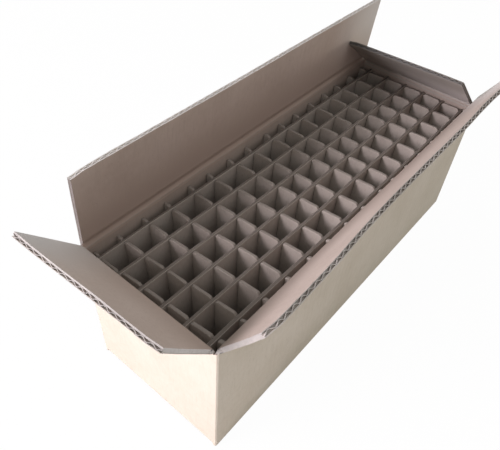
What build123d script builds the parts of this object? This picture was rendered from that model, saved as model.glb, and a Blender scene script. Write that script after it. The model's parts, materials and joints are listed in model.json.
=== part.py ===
from build123d import *
import math
import os

# Bottle shipping carton: a slotted corrugated box, open at the top, with an interlocked grid of dividers.
# Millimetres, +Z up, origin at the centre of the base, +X along the length to the far end, +Y to the back.

# Outer carton
outer_length = 436.0
outer_width = 150.0
wall_height = 157.0          # base to the crease of the long flaps
board = 4.0                  # thickness of the corrugated board
fold_bevel = 1.2             # flattened outer corner of a folded edge

# Corrugation, seen at the free edges of the flaps
liner = 0.45                 # face paper
medium = 0.4                 # fluted paper between the two liners, measured across the board
flute_pitch = 7.9
flute_foot = 1.6             # width over which a flute is glued to a liner
edge_slit = 0.8              # least depth of the open flute along a flap's side edge
crease_band = 8.0            # crushed board beside the crease, where the flutes are closed

# Top flaps
crease_gap = 0.2             # play between a wall and its flap at the crease
slot_play = 1.0              # end flaps pass the long flaps with this much room
end_flap_taper = 1.9         # each side of an end flap draws in by this much towards its free edge
long_flap_setback = 1.0      # long flaps stop this far short of the corners
near_end_open = 41.0         # degrees from upright, outwards
far_end_open = -50.6
front_open = 30.4
back_open = -2.0

# Bottom flaps and the maker's joint
seam_gap = 1.0               # gap between the two long bottom flaps
seam_offset = 1.5            # the seam lies this far from the middle of the base
joint_gap = 1.2              # open line of the maker's joint, beside the far back corner
joint_depth = 1.6

# Dividers
divider_board = 2.8
cells_long = 15
cells_wide = 5
divider_drop = 12.0          # divider tops below the long creases
long_divider_play = 1.0      # each end of a long divider to its wall
cross_divider_play = 0.5     # each end of a cross divider to its wall
end_overhang = 5.7           # long dividers past the outer cross dividers
side_overhang = 9.2          # cross dividers past the outer long dividers
slot_fit = 0.4               # slot width beyond the divider's thickness
slot_relief = 0.2            # each slot passes the middle height by this much
shoulder_radius = 3.4        # rounded shoulders of the tongues between the top slots
shoulder_shares = ((0, 1), (0.134, 0.5), (0.5, 0.134), (1, 0))  # sideways and down, along the round in three cuts

overrun = 5.0                # cutting shapes reach this far past what they cut

# Sizes that follow from the ones above
half_length = outer_length / 2
half_width = outer_width / 2
inner_half_length = half_length - board
inner_half_width = half_width - board
flap_length = half_width     # closed long flaps meet over the middle
end_crease = wall_height - board
divider_base = 2 * board
divider_top = wall_height - divider_drop
divider_height = divider_top - divider_base
slot_width = divider_board + slot_fit
long_divider_half = inner_half_length - long_divider_play
cross_divider_half = inner_half_width - cross_divider_play
outer_cross_place = long_divider_half - end_overhang
outer_long_place = cross_divider_half - side_overhang
cell_length = 2 * outer_cross_place / cells_long
cell_width = 2 * outer_long_place / cells_wide
cross_places = [column * cell_length - outer_cross_place for column in range(cells_long + 1)]
long_places = [row * cell_width - outer_long_place for row in range(cells_wide + 1)]


def block(x_low, x_high, y_low, y_high, z_low, z_high):
    size = (x_high - x_low, y_high - y_low, z_high - z_low)
    return Pos(x_low, y_low, z_low) * Box(*size, align=(Align.MIN, Align.MIN, Align.MIN))


# Mitre that lets the board fold: a wedge along X, standing on the inner face and rising to the crease.
def crease_wedge(half_run):
    section = Plane.YZ * Polygon((0, 0), (board, 0), (board, -board), align=None)
    return extrude(section, half_run, both=True)


# The folded sheet: four walls, with the bottom flaps folded shut under them.
def carton_body():
    footprint = Rectangle(outer_length, outer_width)
    footprint = chamfer(footprint.vertices(), fold_bevel)
    walls = extrude(footprint - Rectangle(2 * inner_half_length, 2 * inner_half_width), wall_height)
    for turn in (0, 180):
        over_end_wall = block(
            inner_half_length - overrun, half_length + overrun,
            -inner_half_width, inner_half_width,
            end_crease, wall_height + overrun,
        )
        under_end_wall = block(
            inner_half_length - overrun, half_length + overrun,
            -inner_half_width, inner_half_width,
            -overrun, board,
        )
        end_wedge = Pos(half_length, 0, end_crease) * Rot(Z=90) * crease_wedge(inner_half_width)
        long_wedge = Pos(0, -half_width, wall_height) * crease_wedge(half_length + overrun)
        walls -= Rot(Z=turn) * over_end_wall
        walls -= Rot(Z=turn) * under_end_wall
        walls -= Rot(Z=turn) * end_wedge
        walls -= Rot(Z=turn) * long_wedge
        end_bottom_flap = block(
            half_length - flap_length, half_length - fold_bevel,
            -inner_half_width, inner_half_width,
            board, divider_base,
        )
        walls += Rot(Z=turn) * end_bottom_flap
    flap_reach = half_length - long_flap_setback
    front_bottom_flap = block(-flap_reach, flap_reach, -half_width, seam_offset - seam_gap / 2, 0, board)
    back_bottom_flap = block(-flap_reach, flap_reach, seam_offset + seam_gap / 2, half_width, 0, board)
    walls += front_bottom_flap
    walls += back_bottom_flap
    long_folds = walls.edges().filter_by(Axis.X).group_by(Axis.Z)[0]
    long_folds = [fold for fold in long_folds if abs(fold.center().Y) > inner_half_width]
    walls = chamfer(long_folds, fold_bevel)
    joint_line = block(
        inner_half_length - joint_gap, inner_half_length,
        half_width - joint_depth, half_width + overrun,
        -overrun, wall_height + overrun,
    )
    return walls - joint_line


# Section of the flutes across a flap, X along the free edge and Y from the outer to the inner face.
def flute_section(free_half, side_reach):
    wide = (flute_pitch - flute_foot) / 2
    narrow = flute_foot / 2
    outer_low, outer_high = liner, board - liner - medium
    inner_low, inner_high = liner + medium, board - liner
    flutes = math.floor(2 * (free_half - flute_pitch / 2 - edge_slit) / flute_pitch) + 1
    first = -(flutes - 1) * flute_pitch / 2
    section = Sketch()
    for flute in range(flutes):
        x = first + flute * flute_pitch
        section += Polygon(
            (x - wide, outer_low), (x + wide, outer_low),
            (x + narrow, outer_high), (x - narrow, outer_high), align=None,
        )
    for flute in range(flutes - 1):
        x = first + (flute + 1 / 2) * flute_pitch
        section += Polygon(
            (x - narrow, inner_low), (x + narrow, inner_low),
            (x + wide, inner_high), (x - wide, inner_high), align=None,
        )
    for side in (-1, 1):
        last = flute_pitch / 2 - first
        section += Polygon(
            (side * (last - narrow), inner_low), (side * side_reach, inner_low),
            (side * side_reach, inner_high), (side * (last - wide), inner_high), align=None,
        )
    return section


# One top flap, upright: X along the crease, Y towards the inside of the box, Z from the crease to the free edge.
def top_flap(crease_half, free_half):
    outline = Plane.XZ * Polygon(
        (-crease_half, crease_gap), (crease_half, crease_gap),
        (free_half, flap_length), (-free_half, flap_length), align=None,
    )
    panel = extrude(outline, -board)
    mitre = Plane.YZ * Polygon(
        (0, crease_gap), (board, crease_gap + board), (board, crease_gap - overrun), (0, crease_gap - overrun),
        align=None,
    )
    panel -= extrude(mitre, crease_half + overrun, both=True)
    flutes = Pos(0, 0, crease_band) * flute_section(free_half, crease_half + overrun)
    return panel - extrude(flutes, flap_length)


# A divider between two end walls, upright: X along it, Y its thickness, Z from its base.
def long_divider():
    outline = Rectangle(2 * long_divider_half, divider_height, align=(Align.CENTER, Align.MIN))
    for place in cross_places:
        slot = Rectangle(slot_width, divider_height / 2 + slot_relief, align=(Align.CENTER, Align.MIN))
        outline -= Pos(place, 0) * slot
    return extrude(Plane.XZ * outline, divider_board / 2, both=True)


# A divider between the two long walls, upright, with tongues between slots that open at its top.
def cross_divider():
    outline = Rectangle(2 * cross_divider_half, divider_height, align=(Align.CENTER, Align.MIN))
    slot_foot = divider_height / 2 - slot_relief
    half_slot = slot_width / 2
    shoulder = [(side * shoulder_radius, down * shoulder_radius) for side, down in shoulder_shares]
    right_side = [(half_slot + side, divider_height - down) for side, down in shoulder]
    left_side = [(-x, z) for x, z in reversed(right_side)]
    slot = Polygon((-half_slot, slot_foot), (half_slot, slot_foot), *right_side, *left_side, align=None)
    for place in long_places:
        outline -= Pos(place, 0) * slot
    return extrude(Plane.XZ * outline, divider_board / 2, both=True)


os.makedirs("parts", exist_ok=True)
nodes = {"carton_body": carton_body()}

long_flap = top_flap(half_length - long_flap_setback, half_length - long_flap_setback)
end_flap_half = inner_half_width - slot_play
end_flap = top_flap(end_flap_half, end_flap_half - end_flap_taper)
nodes["front_flap"] = Pos(0, -half_width, wall_height) * Rot(X=front_open) * long_flap
nodes["back_flap"] = Pos(0, half_width, wall_height) * Rot(Z=180) * Rot(X=back_open) * long_flap
nodes["near_end_flap"] = Pos(-half_length, 0, end_crease) * Rot(Z=-90) * Rot(X=near_end_open) * end_flap
nodes["far_end_flap"] = Pos(half_length, 0, end_crease) * Rot(Z=90) * Rot(X=far_end_open) * end_flap

long_strip = long_divider()
for row, place in enumerate(long_places, start=1):
    nodes[f"long_divider_{row}"] = Pos(0, place, divider_base) * long_strip
cross_strip = cross_divider()
for column, place in enumerate(cross_places, start=1):
    nodes[f"cross_divider_{column}"] = Pos(place, 0, divider_base) * Rot(Z=90) * cross_strip

for name, shape in nodes.items():
    export_step(shape, os.path.join("parts", f"{name}.step"))
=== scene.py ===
import json
import math
import bmesh
import bpy
from mathutils import Matrix, Vector, noise


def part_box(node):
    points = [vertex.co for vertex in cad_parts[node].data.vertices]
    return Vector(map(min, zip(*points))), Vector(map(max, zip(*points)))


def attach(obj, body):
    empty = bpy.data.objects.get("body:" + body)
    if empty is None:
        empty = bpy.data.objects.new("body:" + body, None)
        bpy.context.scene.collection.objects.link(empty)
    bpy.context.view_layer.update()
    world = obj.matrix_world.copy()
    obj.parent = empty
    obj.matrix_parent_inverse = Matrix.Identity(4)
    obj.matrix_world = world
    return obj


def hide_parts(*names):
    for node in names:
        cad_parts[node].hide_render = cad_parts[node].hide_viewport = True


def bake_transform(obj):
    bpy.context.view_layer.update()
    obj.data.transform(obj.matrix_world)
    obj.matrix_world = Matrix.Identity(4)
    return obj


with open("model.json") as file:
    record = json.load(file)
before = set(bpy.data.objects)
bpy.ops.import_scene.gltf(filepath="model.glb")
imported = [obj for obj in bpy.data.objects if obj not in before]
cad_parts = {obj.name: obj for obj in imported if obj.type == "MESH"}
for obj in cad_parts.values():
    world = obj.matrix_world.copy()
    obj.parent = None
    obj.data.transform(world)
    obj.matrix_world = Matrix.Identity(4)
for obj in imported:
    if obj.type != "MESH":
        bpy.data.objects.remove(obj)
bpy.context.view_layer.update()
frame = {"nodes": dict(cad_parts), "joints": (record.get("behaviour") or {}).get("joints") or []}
joints = {joint["name"]: joint for joint in frame["joints"]}
scene = bpy.context.scene
mm = 0.001
print("frame loaded:", len(frame["nodes"]), "CAD nodes")


# small helpers

seedStep = (17.3, -5.1, 9.7)                           # each seed looks at another part of the noise
mergeGap = 0.002 * mm
sliceGap = 0.001 * mm
flatAngle = 0.5                                        # degrees


def easeShare(value, low, high):
    t = min(1.0, max(0.0, (value - low) / (high - low)))
    return t * t * (3 - 2 * t)


def wander(x, y=0.0, z=0.0, seed=0.0):
    return noise.noise(Vector([place + seed * step for place, step in zip((x, y, z), seedStep)]))


def pieceFrom(bm, name, mats, smoothAngle=None):
    mesh = bpy.data.meshes.new(name)
    bm.to_mesh(mesh)
    bm.free()
    for mat in mats:
        mesh.materials.append(mat)
    if smoothAngle is not None:
        mesh.shade_smooth()
        mesh.set_sharp_from_angle(angle=math.radians(smoothAngle))
    obj = bpy.data.objects.new(name, mesh)
    scene.collection.objects.link(obj)
    return obj


def cadCopy(node):
    bm = bmesh.new()
    bm.from_mesh(frame["nodes"][node].data)
    bmesh.ops.remove_doubles(bm, verts=bm.verts, dist=mergeGap)
    bmesh.ops.dissolve_limit(bm, angle_limit=math.radians(flatAngle), verts=bm.verts, edges=bm.edges)
    return bm


def roundEdges(bm, edges, offset, steps):
    bmesh.ops.bevel(bm, geom=edges, offset=offset, offset_type="OFFSET", segments=steps,
                    profile=0.5, affect="EDGES", material=-1, clamp_overlap=True)


def sliceAt(bm, places, normal):
    for place in places:
        geom = bm.verts[:] + bm.edges[:] + bm.faces[:]
        bmesh.ops.bisect_plane(bm, geom=geom, dist=sliceGap, plane_co=Vector(normal) * place, plane_no=normal)


def spread(low, high, count):
    return [low + (high - low) * i / count for i in range(1, count)]


def curveAt(table, share):                             # smooth curve through evenly spaced values
    last = len(table) - 1
    place = min(0.9999, max(0.0, share)) * last
    i = int(place)
    t = place - i
    before, left, right, after = (table[min(last, max(0, i + step))] for step in (-1, 0, 1, 2))
    bend = 2 * before - 5 * left + 4 * right - after
    return left + 0.5 * t * (right - before + t * (bend + t * (3 * (left - right) + after - before)))


# paper finishes

paper = {                                              # each liner has a lighter and a darker cloud
    "outer": (0.580, 0.504, 0.413), "outerLight": (0.68, 0.62, 0.55), "outerDark": (0.49, 0.428, 0.345),
    "inner": (0.56, 0.448, 0.388), "innerLight": (0.65, 0.55, 0.495), "innerDark": (0.45, 0.352, 0.302),
    # painted shade: a darker copy of the inner liner for the front flap
    "shadedInner": (0.49, 0.40, 0.348), "shadedInnerLight": (0.57, 0.49, 0.445), "shadedInnerDark": (0.37, 0.30, 0.262),
    # painted shade: a darker copy of the inner liner for the walls' inside
    "shadedInside": (0.40, 0.33, 0.287), "shadedInsideLight": (0.48, 0.405, 0.36), "shadedInsideDark": (0.31, 0.25, 0.215),
    # painted light: a lighter copy of the inner liner for the near flap
    "litInner": (0.62, 0.502, 0.436), "litInnerLight": (0.70, 0.60, 0.545), "litInnerDark": (0.50, 0.395, 0.34),
    # painted shade: a greyer copy of the inner liner for the far flap, which sits in shadow
    "shadowGrey": (0.53, 0.485, 0.445), "shadowGreyLight": (0.60, 0.555, 0.515), "shadowGreyDark": (0.34, 0.31, 0.282),
    "card": (0.472, 0.413, 0.372), "cardLight": (0.49, 0.44, 0.40), "cardDark": (0.27, 0.23, 0.203),
    "cut": (0.27, 0.234, 0.21), "cutLight": (0.30, 0.265, 0.24), "cutDark": (0.165, 0.14, 0.123),
    "flute": (0.36, 0.345, 0.335), "fluteDark": (0.42, 0.385, 0.355),
    # painted highlight: the pale flute tone lightens the back flap's free edge
    # painted shade: the grey flute tone darkens the far flap's free edge
    "fluteHighlight": (0.58, 0.565, 0.54), "fluteShadowGrey": (0.20, 0.196, 0.187),
    # painted highlight: the pale side tone lightens the near flap's cut sides
    # painted shade: the side tone is a very dark stand-in for cut sides in shade
    "side": (0.15, 0.14, 0.135), "sideHighlight": (0.62, 0.595, 0.575),
    # painted light: a pale tone for flap ends that are lit brighter than the rest
    "fibre": (0.30, 0.235, 0.19), "paintedLight": (0.69, 0.645, 0.62),
}

finish = {
    "cloud": {"scale": 14, "detail": 3.0, "rough": 0.5, "low": 0.32, "high": 0.68},
    "pulp": {"scale": 160, "detail": 5.0, "rough": 0.62, "low": 0.35, "high": 0.7},
    "fibres": {"scale": 620, "detail": 2.0, "rough": 0.5, "low": 0.52, "high": 0.75},
    "fleck": {"scale": 1100, "detail": 1.0, "rough": 0.4, "low": 0.70, "high": 0.80},
    "baseShare": 0.62, "pulpShare": 0.30, "fibreShare": 0.32,
    "plainFleck": 0.3, "linerFleck": 0.5, "paleFleck": 0.6,
    "flutedFibre": (1, 1, 0.12), "plainFibre": (1, 1, 0.35), "fleckStretch": (1, 1, 0.5),
    "pitch": 7.9 * mm, "distortion": 0.5, "waveDetail": 1.0, "waveDetailScale": 0.3,
    "waveTint": 0.035, "waveHeight": 0.42, "grainHeight": 0.5, "endFacing": 0.6,
    "rough": (0.86, 0.98), "roughFrom": (0.3, 0.7), "specular": 0.18,
    "relief": 0.35, "reliefDepth": 0.22 * mm,
}


def tone(key):
    return (*paper[key], 1)


class finishBench:
    def __init__(self, name):
        self.mat = bpy.data.materials.new(name)
        self.mat.use_nodes = True
        self.tree = self.mat.node_tree
        self.shader = self.tree.nodes["Principled BSDF"]
        self.where = self.add("ShaderNodeTexCoord")

    def add(self, kind, **values):
        node = self.tree.nodes.new(kind)
        for key, value in values.items():
            setattr(node, key, value)
        return node

    def link(self, source, target):
        self.tree.links.new(source, target)

    def spot(self, scale):
        node = self.add("ShaderNodeMapping")
        node.inputs["Scale"].default_value = scale
        self.link(self.where.outputs["Object"], node.inputs["Vector"])
        return node.outputs["Vector"]

    def grain(self, layer, stretch=(1, 1, 1)):
        node = self.add("ShaderNodeTexNoise")
        node.inputs["Scale"].default_value = layer["scale"]
        node.inputs["Detail"].default_value = layer["detail"]
        node.inputs["Roughness"].default_value = layer["rough"]
        self.link(self.spot(stretch), node.inputs["Vector"])
        return node.outputs["Fac"]

    def bands(self, direction):                        # the flutes show through the liner
        node = self.add("ShaderNodeTexWave", wave_type="BANDS", bands_direction=direction, wave_profile="SIN")
        node.inputs["Scale"].default_value = 2 * math.pi / (20 * finish["pitch"])
        node.inputs["Distortion"].default_value = finish["distortion"]
        node.inputs["Detail"].default_value = finish["waveDetail"]
        node.inputs["Detail Scale"].default_value = finish["waveDetailScale"]
        self.link(self.spot((1, 1, 1)), node.inputs["Vector"])
        return node.outputs["Fac"]

    def wallBands(self):                               # each wall's flutes run up it
        geometry = self.add("ShaderNodeNewGeometry")
        split = self.add("ShaderNodeSeparateXYZ")
        self.link(geometry.outputs["Normal"], split.inputs[0])
        onEnd = self.sums("GREATER_THAN", self.sums("ABSOLUTE", split.outputs["X"], 0), finish["endFacing"])
        wave = self.add("ShaderNodeMix", data_type="FLOAT")
        self.link(onEnd, wave.inputs[0])
        self.link(self.bands("X"), wave.inputs[2])
        self.link(self.bands("Y"), wave.inputs[3])
        return wave.outputs[0]

    def remap(self, source, low, high, toLow, toHigh):
        node = self.add("ShaderNodeMapRange")
        for key, value in (("From Min", low), ("From Max", high), ("To Min", toLow), ("To Max", toHigh)):
            node.inputs[key].default_value = value
        self.link(source, node.inputs["Value"])
        return node.outputs["Result"]

    def layerShare(self, source, layer, share):
        return self.remap(source, layer["low"], layer["high"], 0, share)

    def sums(self, kind, a, b):
        node = self.add("ShaderNodeMath", operation=kind)
        for slot, value in zip(node.inputs, (a, b)):
            if isinstance(value, (int, float)):
                slot.default_value = value
            else:
                self.link(value, slot)
        return node.outputs[0]

    def tint(self, share, a, b):
        node = self.add("ShaderNodeMix", data_type="RGBA")
        for slot, value in ((node.inputs[0], share), (node.inputs[6], a), (node.inputs[7], b)):
            if isinstance(value, (int, float, tuple)):
                slot.default_value = value
            else:
                self.link(value, slot)
        return node.outputs[2]

    def relief(self, height):
        node = self.add("ShaderNodeBump")
        node.inputs["Strength"].default_value = finish["relief"]
        node.inputs["Distance"].default_value = finish["reliefDepth"]
        self.link(height, node.inputs["Height"])
        self.link(node.outputs["Normal"], self.shader.inputs["Normal"])


def paperFinish(name, base, light, dark, fluteAxis=None, fleckShare=finish["plainFleck"], paintsLightAndShade=False):
    bench = finishBench(name)
    cloud = bench.grain(finish["cloud"])
    pulp = bench.grain(finish["pulp"])
    fibres = bench.grain(finish["fibres"], finish["flutedFibre" if fluteAxis else "plainFibre"])
    fleck = bench.grain(finish["fleck"], finish["fleckStretch"])
    colour = bench.tint(bench.layerShare(cloud, finish["cloud"], 1), tone(dark), tone(light))
    colour = bench.tint(finish["baseShare"], colour, tone(base))
    colour = bench.tint(bench.layerShare(pulp, finish["pulp"], finish["pulpShare"]), colour, tone(light))
    colour = bench.tint(bench.layerShare(fibres, finish["fibres"], finish["fibreShare"]), colour, tone(dark))
    colour = bench.tint(bench.layerShare(fleck, finish["fleck"], fleckShare), colour, tone("fibre"))
    bumps = [bench.remap(part, 0, 1, 0, finish["grainHeight"]) for part in (fibres, pulp)]
    height = bench.sums("ADD", *bumps)
    if fluteAxis:
        wave = bench.wallBands() if fluteAxis == "both" else bench.bands(fluteAxis)
        colour = bench.tint(bench.remap(wave, 0, 1, 0, finish["waveTint"]), colour, tone(dark))
        height = bench.sums("ADD", height, bench.remap(wave, 0, 1, 0, finish["waveHeight"]))
    if paintsLightAndShade:                                          # painted light makes the paper paler and painted shade makes it darker, along the marks
        for mark, marked in (("paintedLight", "paintedLight"), ("paintedShade", dark)):
            node = bench.add("ShaderNodeAttribute", attribute_name=mark)
            colour = bench.tint(node.outputs["Fac"], colour, tone(marked))
    bench.link(colour, bench.shader.inputs["Base Color"])
    bench.link(bench.remap(pulp, *finish["roughFrom"], *finish["rough"]), bench.shader.inputs["Roughness"])
    bench.shader.inputs["Specular IOR Level"].default_value = finish["specular"]
    bench.relief(height)
    return bench.mat


def linerPair(name, fluteAxis, inside):
    pair = []
    for place, key in (("Outer", "outer"), ("Inner", inside)):
        tones = (key, key + "Light", key + "Dark")
        pair.append(paperFinish(name + place, *tones, fluteAxis, finish["linerFleck"], paintsLightAndShade=True))
    return pair


# the walls' inside liner is painted shade
wallPaper = linerPair("wall", "both", "shadedInside")
# the front flap's inner liner is painted shade, a darker copy of the same paper
frontFlapPaper = linerPair("frontFlap", "X", "shadedInner")
backFlapPaper = linerPair("backFlap", "X", "inner")
# the near flap's inner liner is painted light, a lighter copy of the same paper
endFlapPaper = linerPair("endFlap", "Y", "litInner")
# the far flap's inner liner is painted shade
shadedFarFlapPaper = linerPair("shadedFarFlap", "Y", "shadowGrey")
flutePaper = paperFinish("flutePaper", "flute", "shadowGreyLight", "cutLight")
darkFlutePaper = paperFinish("darkFlutePaper", "fluteDark", "paintedLight", "cutLight")
# painted shade on the far flap's free edge
shadedFluteEdgePaper = paperFinish("shadedFluteEdgePaper", "fluteShadowGrey", "side", "cutDark")
# painted highlight on the back flap's free edge
highlitFlutePaper = paperFinish("highlitFlutePaper", "fluteHighlight", "paintedLight", "shadowGrey")
# painted shade on the back and far flaps' cut sides and the crease ends
shadedSidePaper = paperFinish("shadedSidePaper", "side", "cut", "cutDark")
# painted highlight on the near flap's cut sides
highlitSidePaper = paperFinish("highlitSidePaper", "sideHighlight", "paintedLight", "fluteDark", fleckShare=finish["paleFleck"])
dividerCard = paperFinish("dividerCard", "card", "cardLight", "cardDark")
crossEdge = paperFinish("crossEdge", "cut", "cutLight", "cutDark")
# painted shade: the long strips' cut edges are darkened throughout
shadedLongEdge = paperFinish("shadedLongEdge", "cutDark", "cutDark", "cutDark")
print("finishes made")


# carton walls: the CAD body with rounded folds and walls that aren't quite flat

carton = {
    "foldRound": 0.45 * mm, "foldSteps": 3, "foldAngles": (30, 60), "foldLength": 100 * mm,
    "longCuts": 22, "endCuts": 8, "heightCuts": 8, "longWall": 70 * mm, "endWall": 213 * mm, "skin": 2 * mm,
    "bow": 0.5 * mm, "bowMean": 0.6, "bowGrain": (9, 11), "bowRise": (10 * mm, 70 * mm),
    "bowFall": (110 * mm, 148 * mm), "longEase": (150 * mm, 205 * mm), "endEase": (30 * mm, 62 * mm),
}


def isFold(edge):
    low, high = (math.radians(angle) for angle in carton["foldAngles"])
    return low < edge.calc_face_angle(0) < high and edge.calc_length() > carton["foldLength"]


def bowOf(along, up, ease, seed):
    rise = easeShare(up, *carton["bowRise"]) * (1 - easeShare(up, *carton["bowFall"]))
    grain = wander(along * carton["bowGrain"][0], up * carton["bowGrain"][1], 0, seed)
    return carton["bow"] * rise * (1 - easeShare(abs(along), *ease)) * (carton["bowMean"] + grain)


def cartonWalls():
    low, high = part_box("carton_body")
    bm = cadCopy("carton_body")
    roundEdges(bm, [edge for edge in bm.edges if isFold(edge)], carton["foldRound"], carton["foldSteps"])
    sliceAt(bm, spread(low.x, high.x, carton["longCuts"]), (1, 0, 0))
    sliceAt(bm, spread(low.y, high.y, carton["endCuts"]), (0, 1, 0))
    sliceAt(bm, spread(low.z, high.z, carton["heightCuts"]), (0, 0, 1))
    for v in bm.verts:
        x, y, z = v.co
        if abs(y) > carton["longWall"]:
            v.co.y -= math.copysign(1, y) * bowOf(x, z, carton["longEase"], 1)
        elif abs(x) > carton["endWall"]:
            v.co.x -= math.copysign(1, x) * bowOf(y, z, carton["endEase"], 2)
    skin = carton["skin"]
    for f in bm.faces:                                 # outside paper 0, inside paper 1, which carries painted shade
        c, n = f.calc_center_median(), f.normal
        onEnd = abs(c.x) > high.x - skin and n.x * c.x > 0
        onLong = abs(c.y) > high.y - skin and n.y * c.y > 0
        f.material_index = 0 if (onEnd or onLong or c.z < skin) and n.z < 0.5 else 1
    obj = pieceFrom(bm, "cartonWalls", wallPaper)
    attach(obj, "carton")
    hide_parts("carton_body")


cartonWalls()
print("carton walls made")


# top flaps: two liners with the fluted medium between them

board = {
    "thick": 4.0 * mm, "pitch": 7.9 * mm, "length": 75 * mm, "start": 2.4 * mm, "innerStart": 4.8 * mm,
    "longHalf": 217 * mm, "endHalf": 70.4 * mm, "sheetCells": 2, "sheetRows": 16,
    "ribbon": 5 * mm, "ribbonCells": 10, "ribbonRows": 2,
    "drift": 0.22, "driftGrain": (60, 8), "driftSeed": 5, "dent": 0.2, "dentGrain": 45, "dentSeed": 9,
    "pinch": 0.12, "pinchFrom": 0.93, "pinchGrain": 38, "pinchSeed": 7,
    "ragged": 0.35 * mm, "raggedFrom": 0.985, "raggedGrain": (420, 300), "raggedSeed": 2,
    "cornerCut": 16 * mm, "cornerBend": 30 * mm, "cornerFrom": 45 * mm, "waveGrain": (11, 6),
    "sideFacing": 0.8, "sideSkin": 0.3 * mm, "edgeFacing": 0.3, "smooth": 40,
}

# turn and open: degrees about the upright and about the crease, at rest
# leans: degrees beside the resting angle, along the crease, and wave: how far they wander
# trim and taper: taken off each side at the crease, and more towards the free edge
# crush: which corner, how much is cut and how far it bends in
# painted light patch: which side, where it starts, and its share at the crease and at the free edge
# painted shade share: how much of it at the crease and at the free edge
# inner, outer, medium: thickness of each paper; depth, sideDepth: how far the flutes stay open
flaps = {
    "frontFlap": {
        "node": "front_flap", "joint": "front_flap_hinge", "seed": 1,
        "half": board["longHalf"], "turn": 0, "open": 30.4,
        "leans": (1.4, 0.8, -1.1, -1.9, -1.7, -1.3, -1.9, -0.8, 0.0), "wave": 0.2,
        "trim": (0, 0), "taper": (0, 0), "crush": (-1, 3.0 * mm, 0.6 * mm),
        "lightPatch": (1, 100 * mm, 0.9, 1.0), "paintedShadeShare": (1.0, 0),
        "inner": 0.6 * mm, "outer": 0.6 * mm, "medium": 0.65 * mm, "depth": 2.2 * mm, "sideDepth": 0.2 * mm,
        "paper": frontFlapPaper, "freeEdge": darkFlutePaper, "sideEdge": flutePaper,
    },
    "backFlap": {
        "node": "back_flap", "joint": "back_flap_hinge", "seed": 2,
        "half": board["longHalf"], "turn": 180, "open": -2.0,
        "leans": (-1.8, -1.6), "wave": 0.5,
        "trim": (7.5 * mm, 0), "taper": (0, 0), "crush": (1, 1.0 * mm, 0.3 * mm),
        "lightPatch": (-1, 110 * mm, 0.6, 0.9), "paintedShadeShare": (1.0, 0),
        "inner": 0.9 * mm, "outer": 0.9 * mm, "medium": 0.8 * mm, "depth": 0.9 * mm, "sideDepth": 0.2 * mm,
        "paper": backFlapPaper, "freeEdge": highlitFlutePaper, "sideEdge": shadedSidePaper,
    },
    "nearEndFlap": {
        "node": "near_end_flap", "joint": "near_end_flap_hinge", "seed": 3,
        "half": board["endHalf"], "turn": -90, "open": 41.0,
        "leans": (0.0, -2.7), "wave": 0.4,
        "trim": (0, 0), "taper": (0, 0), "crush": (1, 1.6 * mm, 0.5 * mm),
        "lightPatch": (-1, 5 * mm, 0.9, 1.0), "paintedShadeShare": (0.6, 0),
        "inner": 1.2 * mm, "outer": 0.5 * mm, "medium": 0.5 * mm, "depth": 2.2 * mm, "sideDepth": 0.2 * mm,
        "paper": endFlapPaper, "freeEdge": flutePaper, "sideEdge": highlitSidePaper,
    },
    "farEndFlap": {
        "node": "far_end_flap", "joint": "far_end_flap_hinge", "seed": 4,
        "half": board["endHalf"], "turn": 90, "open": -50.6,
        "leans": (2.0, -1.5), "wave": 0.4,
        "trim": (0.4 * mm, 0.6 * mm), "taper": (2.8 * mm, 0), "crush": (1, 2.0 * mm, 1.0 * mm),
        "lightPatch": (-1, -60 * mm, 0.8, 0.1), "paintedShadeShare": (0, 0.8),
        "inner": 0.6 * mm, "outer": 0.6 * mm, "medium": 0.6 * mm, "depth": 2.4 * mm, "sideDepth": 0.4 * mm,
        "paper": shadedFarFlapPaper, "freeEdge": shadedFluteEdgePaper, "sideEdge": shadedSidePaper,
    },
}

marks = {                                              # where the painted light and the painted shade run
    "reach": 7 * mm, "lightRamp": (0.2, 0.9), "fold": 0.7, "foldTop": 0.1,
    "low": (0.15, 0.75), "high": (0.35, 0.75), "outside": 0.5,
}


def placeOf(flap):
    hinge = Vector(joints[flap["joint"]]["pos_m"])
    return Matrix.Translation(hinge) @ Matrix.Rotation(math.radians(flap["turn"]), 4, "Z")


def leanOf(flap, x, z):
    grain = wander(x * board["waveGrain"][0], z * board["waveGrain"][1], 0, flap["seed"])
    wave = flap["wave"] * z / board["length"] * grain
    return flap["open"] + curveAt(flap["leans"], 0.5 + 0.5 * x / flap["half"]) + wave


def trimmed(flap, x, z):
    rise = max(0.0, z)
    low, high = (trim + taper * rise / board["length"] for trim, taper in zip(flap["trim"], flap["taper"]))
    return low - flap["half"] + (x + flap["half"]) * (1 - (low + high) / (2 * flap["half"]))


def swing(co, degrees):
    c, s = math.cos(math.radians(degrees)), math.sin(math.radians(degrees))
    return Vector((co.x, co.y * c - co.z * s, co.y * s + co.z * c))


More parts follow.
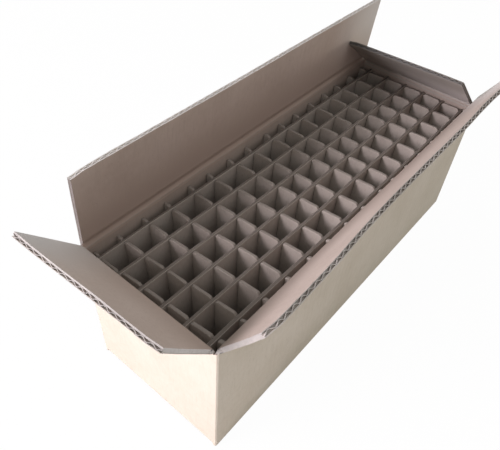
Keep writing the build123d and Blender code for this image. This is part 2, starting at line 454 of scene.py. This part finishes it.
# one upright sheet of paper; flute is half the height of its waves
def paperSheet(bm, half, zFrom, zTo, counts, low, thick, matIndex, flute=0.0, seed=0):
    made = bmesh.ops.create_grid(bm, x_segments=counts[0], y_segments=counts[1], size=0.5)
    verts = made["verts"]
    bmesh.ops.scale(bm, verts=verts, vec=(2 * half, zTo - zFrom, 1))
    bmesh.ops.rotate(bm, verts=verts, cent=(0, 0, 0), matrix=Matrix.Rotation(math.pi / 2, 3, "X"))
    bmesh.ops.translate(bm, verts=verts, vec=(0, low, (zFrom + zTo) / 2))
    driftX, driftZ = board["driftGrain"]
    for v in verts:
        drift = board["drift"] * wander(v.co.x * driftX, v.co.z * driftZ, 0, seed + board["driftSeed"])
        dent = board["dent"] * (0.5 + wander(v.co.x * board["dentGrain"], 0, 0, seed + board["dentSeed"]))
        v.co.y += flute * (1 - dent) * math.cos(2 * math.pi * (v.co.x / board["pitch"] + drift))
    faces = list({f for v in verts for f in v.link_faces})
    made = bmesh.ops.solidify(bm, geom=faces, thickness=thick)
    shell = set(faces) | {f for f in made["geom"] if isinstance(f, bmesh.types.BMFace)}
    shell |= {f for v in {v for f in shell for v in f.verts} for f in v.link_faces}
    bmesh.ops.recalc_face_normals(bm, faces=list(shell))
    for f in shell:
        f.material_index = matIndex


def markPaper(bm, flap):
    paintedLight, paintedShade = (bm.verts.layers.float.new(mark) for mark in ("paintedLight", "paintedShade"))
    side, start, lightLow, lightHigh = flap["lightPatch"]
    shadowLow, shadowHigh = flap["paintedShadeShare"]
    for v in bm.verts:
        rise = v.co.z / board["length"]
        inside = v.co.y > board["thick"] / 2
        onFlap = easeShare(v.co.z, -marks["reach"], marks["reach"])
        lightRamp = lightLow + (lightHigh - lightLow) * easeShare(rise, *marks["lightRamp"])
        # painted light: paler towards one end of each flap's inner side
        v[paintedLight] = onFlap * lightRamp * easeShare(side * v.co.x, start, flap["half"]) * inside
        # painted shade: along the crease strip, on the flap near the crease, on the far flap towards its free
        # edge, and at half strength outside
        fold = marks["fold"] * (1 - easeShare(rise, 0, marks["foldTop"]))
        paintedShadeShare = shadowLow * (1 - easeShare(rise, *marks["low"])) + shadowHigh * easeShare(rise, *marks["high"])
        v[paintedShade] = max(fold, paintedShadeShare) * (1 - v[paintedLight]) * (1 if inside else marks["outside"] * onFlap)


def shapeFlap(bm, flap):
    place, seed, half, top = placeOf(flap), flap["seed"], flap["half"], board["length"]
    side, cut, bend = flap["crush"]
    middle = board["thick"] / 2
    raggedX, raggedY = board["raggedGrain"]
    markPaper(bm, flap)
    for v in bm.verts:
        rise = v.co.z / top
        v.co.x = trimmed(flap, v.co.x, v.co.z)
        dent = 0.5 + wander(v.co.x * board["pinchGrain"], 0, 0, seed + board["pinchSeed"])
        pinch = board["pinch"] * easeShare(rise, board["pinchFrom"], 1.0) * dent
        v.co.y = middle + (v.co.y - middle) * (1 - max(0.0, pinch))
        tear = wander(v.co.x * raggedX, v.co.y * raggedY, 0, seed + board["raggedSeed"]) - 0.5
        v.co.z += easeShare(rise, board["raggedFrom"], 1.0) * board["ragged"] * tear
        corner = easeShare(v.co.z, board["cornerFrom"], top)
        corner *= easeShare(side * v.co.x, half - board["cornerCut"], half)
        v.co.z -= cut * corner * corner
        v.co.y += bend * corner * easeShare(side * v.co.x, half - board["cornerBend"], half)
        lean = leanOf(flap, v.co.x, v.co.z)
        if lean > flap["open"] > 0:                    # board bent further out is crushed down as much
            v.co.z *= math.sin(math.radians(flap["open"])) / math.sin(math.radians(lean))
        v.co = place @ swing(v.co, lean)


def topFlap(name, flap):
    half, inner, outer, medium = flap["half"], flap["inner"], flap["outer"], flap["medium"]
    start, innerStart, top = board["start"], board["innerStart"], board["length"]
    gap = board["thick"] - inner - outer
    flute = (gap - medium) / 2
    flutes = round(2 * half / board["pitch"])
    cells = (flutes * board["sheetCells"], board["sheetRows"])
    coreCells = (flutes, board["sheetRows"])
    ribbonCells = (flutes * board["ribbonCells"], board["ribbonRows"])
    ribbonFrom = top - board["ribbon"]
    bm = bmesh.new()
    paperSheet(bm, half, start, top, cells, 0, outer, 0)
    paperSheet(bm, half, innerStart, top, cells, board["thick"] - inner, inner, 1)
    paperSheet(bm, half - flap["sideDepth"], innerStart, top - flap["depth"], coreCells, outer, gap, 2)
    paperSheet(bm, half, ribbonFrom, top, ribbonCells, outer + flute, medium, 2, flute, flap["seed"])
    bm.normal_update()
    for f in bm.faces:                                 # cut edges: free edge 2, sides 3
        onSide = abs(f.calc_center_median().x) > half - board["sideSkin"]
        if abs(f.normal.x) > board["sideFacing"] and onSide:
            f.material_index = 3
        elif abs(f.normal.y) < board["edgeFacing"]:
            f.material_index = 2
    shapeFlap(bm, flap)
    obj = pieceFrom(bm, name, flap["paper"] + [flap["freeEdge"], flap["sideEdge"]], board["smooth"])
    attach(obj, flap["node"])
    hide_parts(flap["node"])


for name, flap in flaps.items():
    topFlap(name, flap)
print("top flaps made")


# creases: the crushed board between a wall and its flap, bent to the flap's resting lean

crease = {                                             # profiles: height and depth into the board, in mm
    "outerProfile": ((-7.0, 0.04), (-2.2, 0.04), (-0.9, 0.06), (0.0, 0.12), (0.9, 0.06),
                     (2.2, 0.04), (7.5, 0.04)),
    "innerProfile": ((7.5, 4.06), (5.2, 4.05), (4.0, 3.7), (2.6, 3.0), (1.2, 2.55), (0.0, 2.45),
                     (-1.2, 2.6), (-2.6, 3.1), (-4.0, 3.75), (-5.2, 4.05), (-7.0, 4.06)),
    "reach": 7.5 * mm, "turnHalf": 2.6 * mm, "longCuts": 40, "endCuts": 13,
    "wrinkle": 0.22 * mm, "wrinkleGrain": (55, 80), "innerFrom": 2 * mm, "outerSkin": 0.5 * mm,
    "endFacing": 0.8, "smooth": 50,
}


def creaseStrip(name, flap):
    half, place = flap["half"], placeOf(flap)
    cuts = crease["longCuts"] if half == board["longHalf"] else crease["endCuts"]
    grainX, grainZ = crease["wrinkleGrain"]
    bm = bmesh.new()
    profile = crease["outerProfile"] + crease["innerProfile"]
    face = bm.faces.new([bm.verts.new((-half, y * mm, z * mm)) for z, y in profile])
    made = bmesh.ops.extrude_face_region(bm, geom=[face])
    ends = [v for v in made["geom"] if isinstance(v, bmesh.types.BMVert)]
    bmesh.ops.translate(bm, verts=ends, vec=(2 * half, 0, 0))
    bmesh.ops.recalc_face_normals(bm, faces=bm.faces)
    sliceAt(bm, spread(-half, half, cuts), (1, 0, 0))
    markPaper(bm, flap)
    for f in bm.faces:                                 # outside paper 0, inside paper 1, ends 2
        onOuter = f.calc_center_median().y < crease["outerSkin"]
        f.material_index = 2 if abs(f.normal.x) > crease["endFacing"] else 0 if onOuter else 1
    for v in bm.verts:
        v.co.x = trimmed(flap, v.co.x, v.co.z)
        turnFrom = 0 if v.co.y < crease["outerSkin"] else -crease["turnHalf"]
        share = easeShare(v.co.z, turnFrom, crease["turnHalf"])
        if v.co.y > crease["innerFrom"]:
            grain = wander(v.co.x * grainX, v.co.z * grainZ, 0, flap["seed"])
            v.co.y += crease["wrinkle"] * grain * (1 - abs(v.co.z) / crease["reach"])
        v.co = place @ swing(v.co, leanOf(flap, v.co.x, v.co.z) * share)
    obj = pieceFrom(bm, name, flap["paper"] + [flap["sideEdge"]], crease["smooth"])
    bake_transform(obj)


for name, flap in flaps.items():
    creaseStrip(name.replace("Flap", "Crease"), flap)
print("creases made")


# dividers: card strips, warped a little as one grid

dividers = {                                           # lean and drift: in mm, near end to far end
    "columns": 15, "rows": 5, "base": 8 * mm, "top": 145 * mm, "crossHalf": 207.3 * mm, "longHalf": 61.3 * mm,
    "cell": 24.52 * mm, "end": 213 * mm, "side": 69 * mm, "sideEase": 60 * mm,
    "edgeRound": 0.6 * mm, "edgeSteps": 3, "edgeAngle": 15, "cut": 12 * mm, "leastCuts": 6, "heightCuts": 7,
    "lean": (0.8, -1.6, -0.9, -1.6, 1.0, 0.1, 2.5, 1.3, 4.2, 1.5, 0.4, 0.5, 0.8, -0.8, 1.0, 0.0),
    "leanWander": 0.9, "leanGrain": (14, 22), "leanSeed": 6, "skew": 0.06,
    "drift": (2.3, -0.2, -1.5, -2.0),
    "driftWander": 1.2, "driftGrain": (17, 9), "driftLayer": 3.0, "driftSeed": 7,
    "sag": 1.4 * mm, "sagGrain": (9, 21), "sagSeed": 8, "longSink": 0.8 * mm,
    "loose": 3.2 * mm, "looseGrain": (3.71, 5.37), "looseLayer": 0.5, "looseSeed": 11,
}


def cardNoise(co, kind, layer=0):
    grainX, grainY = dividers[kind + "Grain"]
    return wander(co.x * grainX, co.y * grainY, layer, dividers[kind + "Seed"])


def warpAt(co):
    height = (co.z - dividers["base"]) / (dividers["top"] - dividers["base"])
    share = 0.5 + co.x / (2 * dividers["crossHalf"])
    inX = 1 - easeShare(abs(co.x), dividers["crossHalf"], dividers["end"])
    inY = 1 - easeShare(abs(co.y), dividers["sideEase"], dividers["side"])
    dx = (curveAt(dividers["lean"], share) + dividers["leanWander"] * cardNoise(co, "lean")) * mm * height
    dx -= dividers["skew"] * co.y
    drift = dividers["driftWander"] * cardNoise(co, "drift", dividers["driftLayer"])
    dy = (curveAt(dividers["drift"], share) + drift) * mm
    dz = -dividers["sag"] * abs(cardNoise(co, "sag")) * height
    return Vector((dx * inX, dy * inY, dz)) * height


def tongueBend(co, column):                            # the free tongues lean each their own way
    row = math.floor((co.y + dividers["longHalf"]) / dividers["cell"])
    free = easeShare(co.z, (dividers["base"] + dividers["top"]) / 2, dividers["top"])
    grainColumn, grainRow = dividers["looseGrain"]
    grain = wander(column * grainColumn, row * grainRow, dividers["looseLayer"], dividers["looseSeed"])
    return Vector((dividers["loose"] * free * grain, 0, 0))


def dividerStrip(node, name, along, low, high, column=None):
    bm = cadCopy(node)
    sharp = math.radians(dividers["edgeAngle"])
    edges = [edge for edge in bm.edges if edge.calc_face_angle(0) > sharp]
    roundEdges(bm, edges, dividers["edgeRound"], dividers["edgeSteps"])
    sliceAt(bm, spread(low, high, max(dividers["leastCuts"], round((high - low) / dividers["cut"]))), along)
    sliceAt(bm, spread(dividers["base"], dividers["top"], dividers["heightCuts"]), (0, 0, 1))
    bm.normal_update()
    for f in bm.faces:                                 # card 0, cut edges 1
        across = f.normal.y * along[0] + f.normal.x * along[1]
        f.material_index = 1 if across ** 2 < 0.5 else 0
    for v in bm.verts:
        shift = warpAt(v.co)
        if column is None:
            shift.z -= dividers["longSink"] * easeShare(v.co.z, 0.5 * dividers["top"], dividers["top"])
        else:
            shift += tongueBend(v.co, column)
        v.co += shift
    # the long strips' cut edges carry painted shade
    obj = pieceFrom(bm, name, [dividerCard, shadedLongEdge if column is None else crossEdge])
    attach(obj, "carton")
    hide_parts(node)


for row in range(1, dividers["rows"] + 2):
    low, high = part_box(f"long_divider_{row}")
    dividerStrip(f"long_divider_{row}", f"longDivider{row}", (1, 0, 0), low.x, high.x)
for column in range(1, dividers["columns"] + 2):
    low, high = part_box(f"cross_divider_{column}")
    dividerStrip(f"cross_divider_{column}", f"crossDivider{column}", (0, 1, 0), low.y, high.y, column)
print("dividers made")


# stage, light and camera

studio = {
    "floorHalf": 6, "floorColour": (0.86, 0.86, 0.86, 1), "floorRough": 0.9,
    "floorGlow": 0.97, "floorDrop": 0.3 * mm,
    "skyColour": (0.99, 1.0, 0.985, 1), "horizon": 0.12, "overhead": 0.80, "backdrop": 1.0,
    "aim": (0, 0, 0.1),
}
lamps = {
    "keyLight": {"place": (-1.97, 0.91, 0.93), "size": 1.2, "power": 67, "colour": (1.0, 0.928, 0.99)},
    "frontFill": {"place": (0.1, -1.7, 1.7), "size": 1.2, "power": 1.5, "colour": (1.0, 0.99, 0.94)},
    "sideFill": {"place": (1.3, -1.44, 0.22), "size": 0.35, "power": 3.5, "colour": (1.0, 0.985, 0.88)},
}
camera = {                                             # turn: axis times angle; focal, picture: pixels
    "eye": (-0.36442, -0.20353, 0.48852), "turn": (2.2102, -1.0008, 0.4728), "focal": 543.97, "picture": 500,
    "sensor": 36, "clip": (0.01, 50),
}


def backdropShare(tree):                               # 1 for rays that look at the backdrop
    seen = tree.nodes.new("ShaderNodeLightPath")
    share = seen.outputs["Is Camera Ray"]
    for ray in ("Is Glossy Ray", "Is Transmission Ray"):
        either = tree.nodes.new("ShaderNodeMath")
        either.operation = "MAXIMUM"
        tree.links.new(share, either.inputs[0])
        tree.links.new(seen.outputs[ray], either.inputs[1])
        share = either.outputs[0]
    return share


def floorSheet():
    bm = bmesh.new()
    bmesh.ops.create_grid(bm, x_segments=1, y_segments=1, size=studio["floorHalf"])
    mat = bpy.data.materials.new("studioFloor")
    mat.use_nodes = True
    tree = mat.node_tree
    shader = tree.nodes["Principled BSDF"]
    shader.inputs["Base Color"].default_value = studio["floorColour"]
    shader.inputs["Roughness"].default_value = studio["floorRough"]
    glow = tree.nodes.new("ShaderNodeEmission")
    share = tree.nodes.new("ShaderNodeMath")           # the rest keeps the object's shadow
    share.operation = "MULTIPLY"
    share.inputs[1].default_value = studio["floorGlow"]
    mix = tree.nodes.new("ShaderNodeMixShader")
    tree.links.new(backdropShare(tree), share.inputs[0])
    tree.links.new(share.outputs[0], mix.inputs[0])
    tree.links.new(shader.outputs[0], mix.inputs[1])
    tree.links.new(glow.outputs[0], mix.inputs[2])
    tree.links.new(mix.outputs[0], tree.nodes["Material Output"].inputs["Surface"])
    obj = pieceFrom(bm, "studioFloor", [mat])
    obj.location.z = -studio["floorDrop"]


def studioWorld():
    world = bpy.data.worlds.new("studioWorld")
    world.use_nodes = True
    scene.world = world
    tree = world.node_tree
    ground = tree.nodes["Background"]
    ground.inputs["Color"].default_value = studio["skyColour"]
    way = tree.nodes.new("ShaderNodeTexCoord")
    split = tree.nodes.new("ShaderNodeSeparateXYZ")
    sky = tree.nodes.new("ShaderNodeMapRange")         # softer at the horizon, brighter overhead
    sky.inputs["To Min"].default_value = studio["horizon"]
    sky.inputs["To Max"].default_value = studio["overhead"]
    level = tree.nodes.new("ShaderNodeMix")
    level.inputs["B"].default_value = studio["backdrop"]
    tree.links.new(way.outputs["Generated"], split.inputs[0])
    tree.links.new(split.outputs["Z"], sky.inputs["Value"])
    tree.links.new(backdropShare(tree), level.inputs["Factor"])
    tree.links.new(sky.outputs["Result"], level.inputs["A"])
    tree.links.new(level.outputs["Result"], ground.inputs["Strength"])


def softLamp(name, lamp):
    light = bpy.data.lights.new(name, "AREA")
    light.shape = "DISK"
    light.size = lamp["size"]
    light.energy = lamp["power"]
    light.color = lamp["colour"]
    obj = bpy.data.objects.new(name, light)
    obj.location = lamp["place"]
    obj.rotation_euler = (Vector(studio["aim"]) - obj.location).to_track_quat("-Z", "Y").to_euler()
    scene.collection.objects.link(obj)


def photoCamera():
    turn = Vector(camera["turn"])
    right, down, ahead = Matrix.Rotation(turn.length, 3, turn.normalized())
    axes = Matrix((right, -down, -ahead)).transposed()
    lens = bpy.data.cameras.new("photoCamera")
    lens.sensor_width = camera["sensor"]
    lens.lens = camera["focal"] * camera["sensor"] / camera["picture"]
    lens.clip_start, lens.clip_end = camera["clip"]
    obj = bpy.data.objects.new("photoCamera", lens)
    obj.matrix_world = Matrix.Translation(camera["eye"]) @ axes.to_4x4()
    scene.collection.objects.link(obj)
    scene.camera = obj


floorSheet()
studioWorld()
for name, lamp in lamps.items():
    softLamp(name, lamp)
photoCamera()
scene.view_settings.view_transform = "Standard"
print("stage, light and camera set")
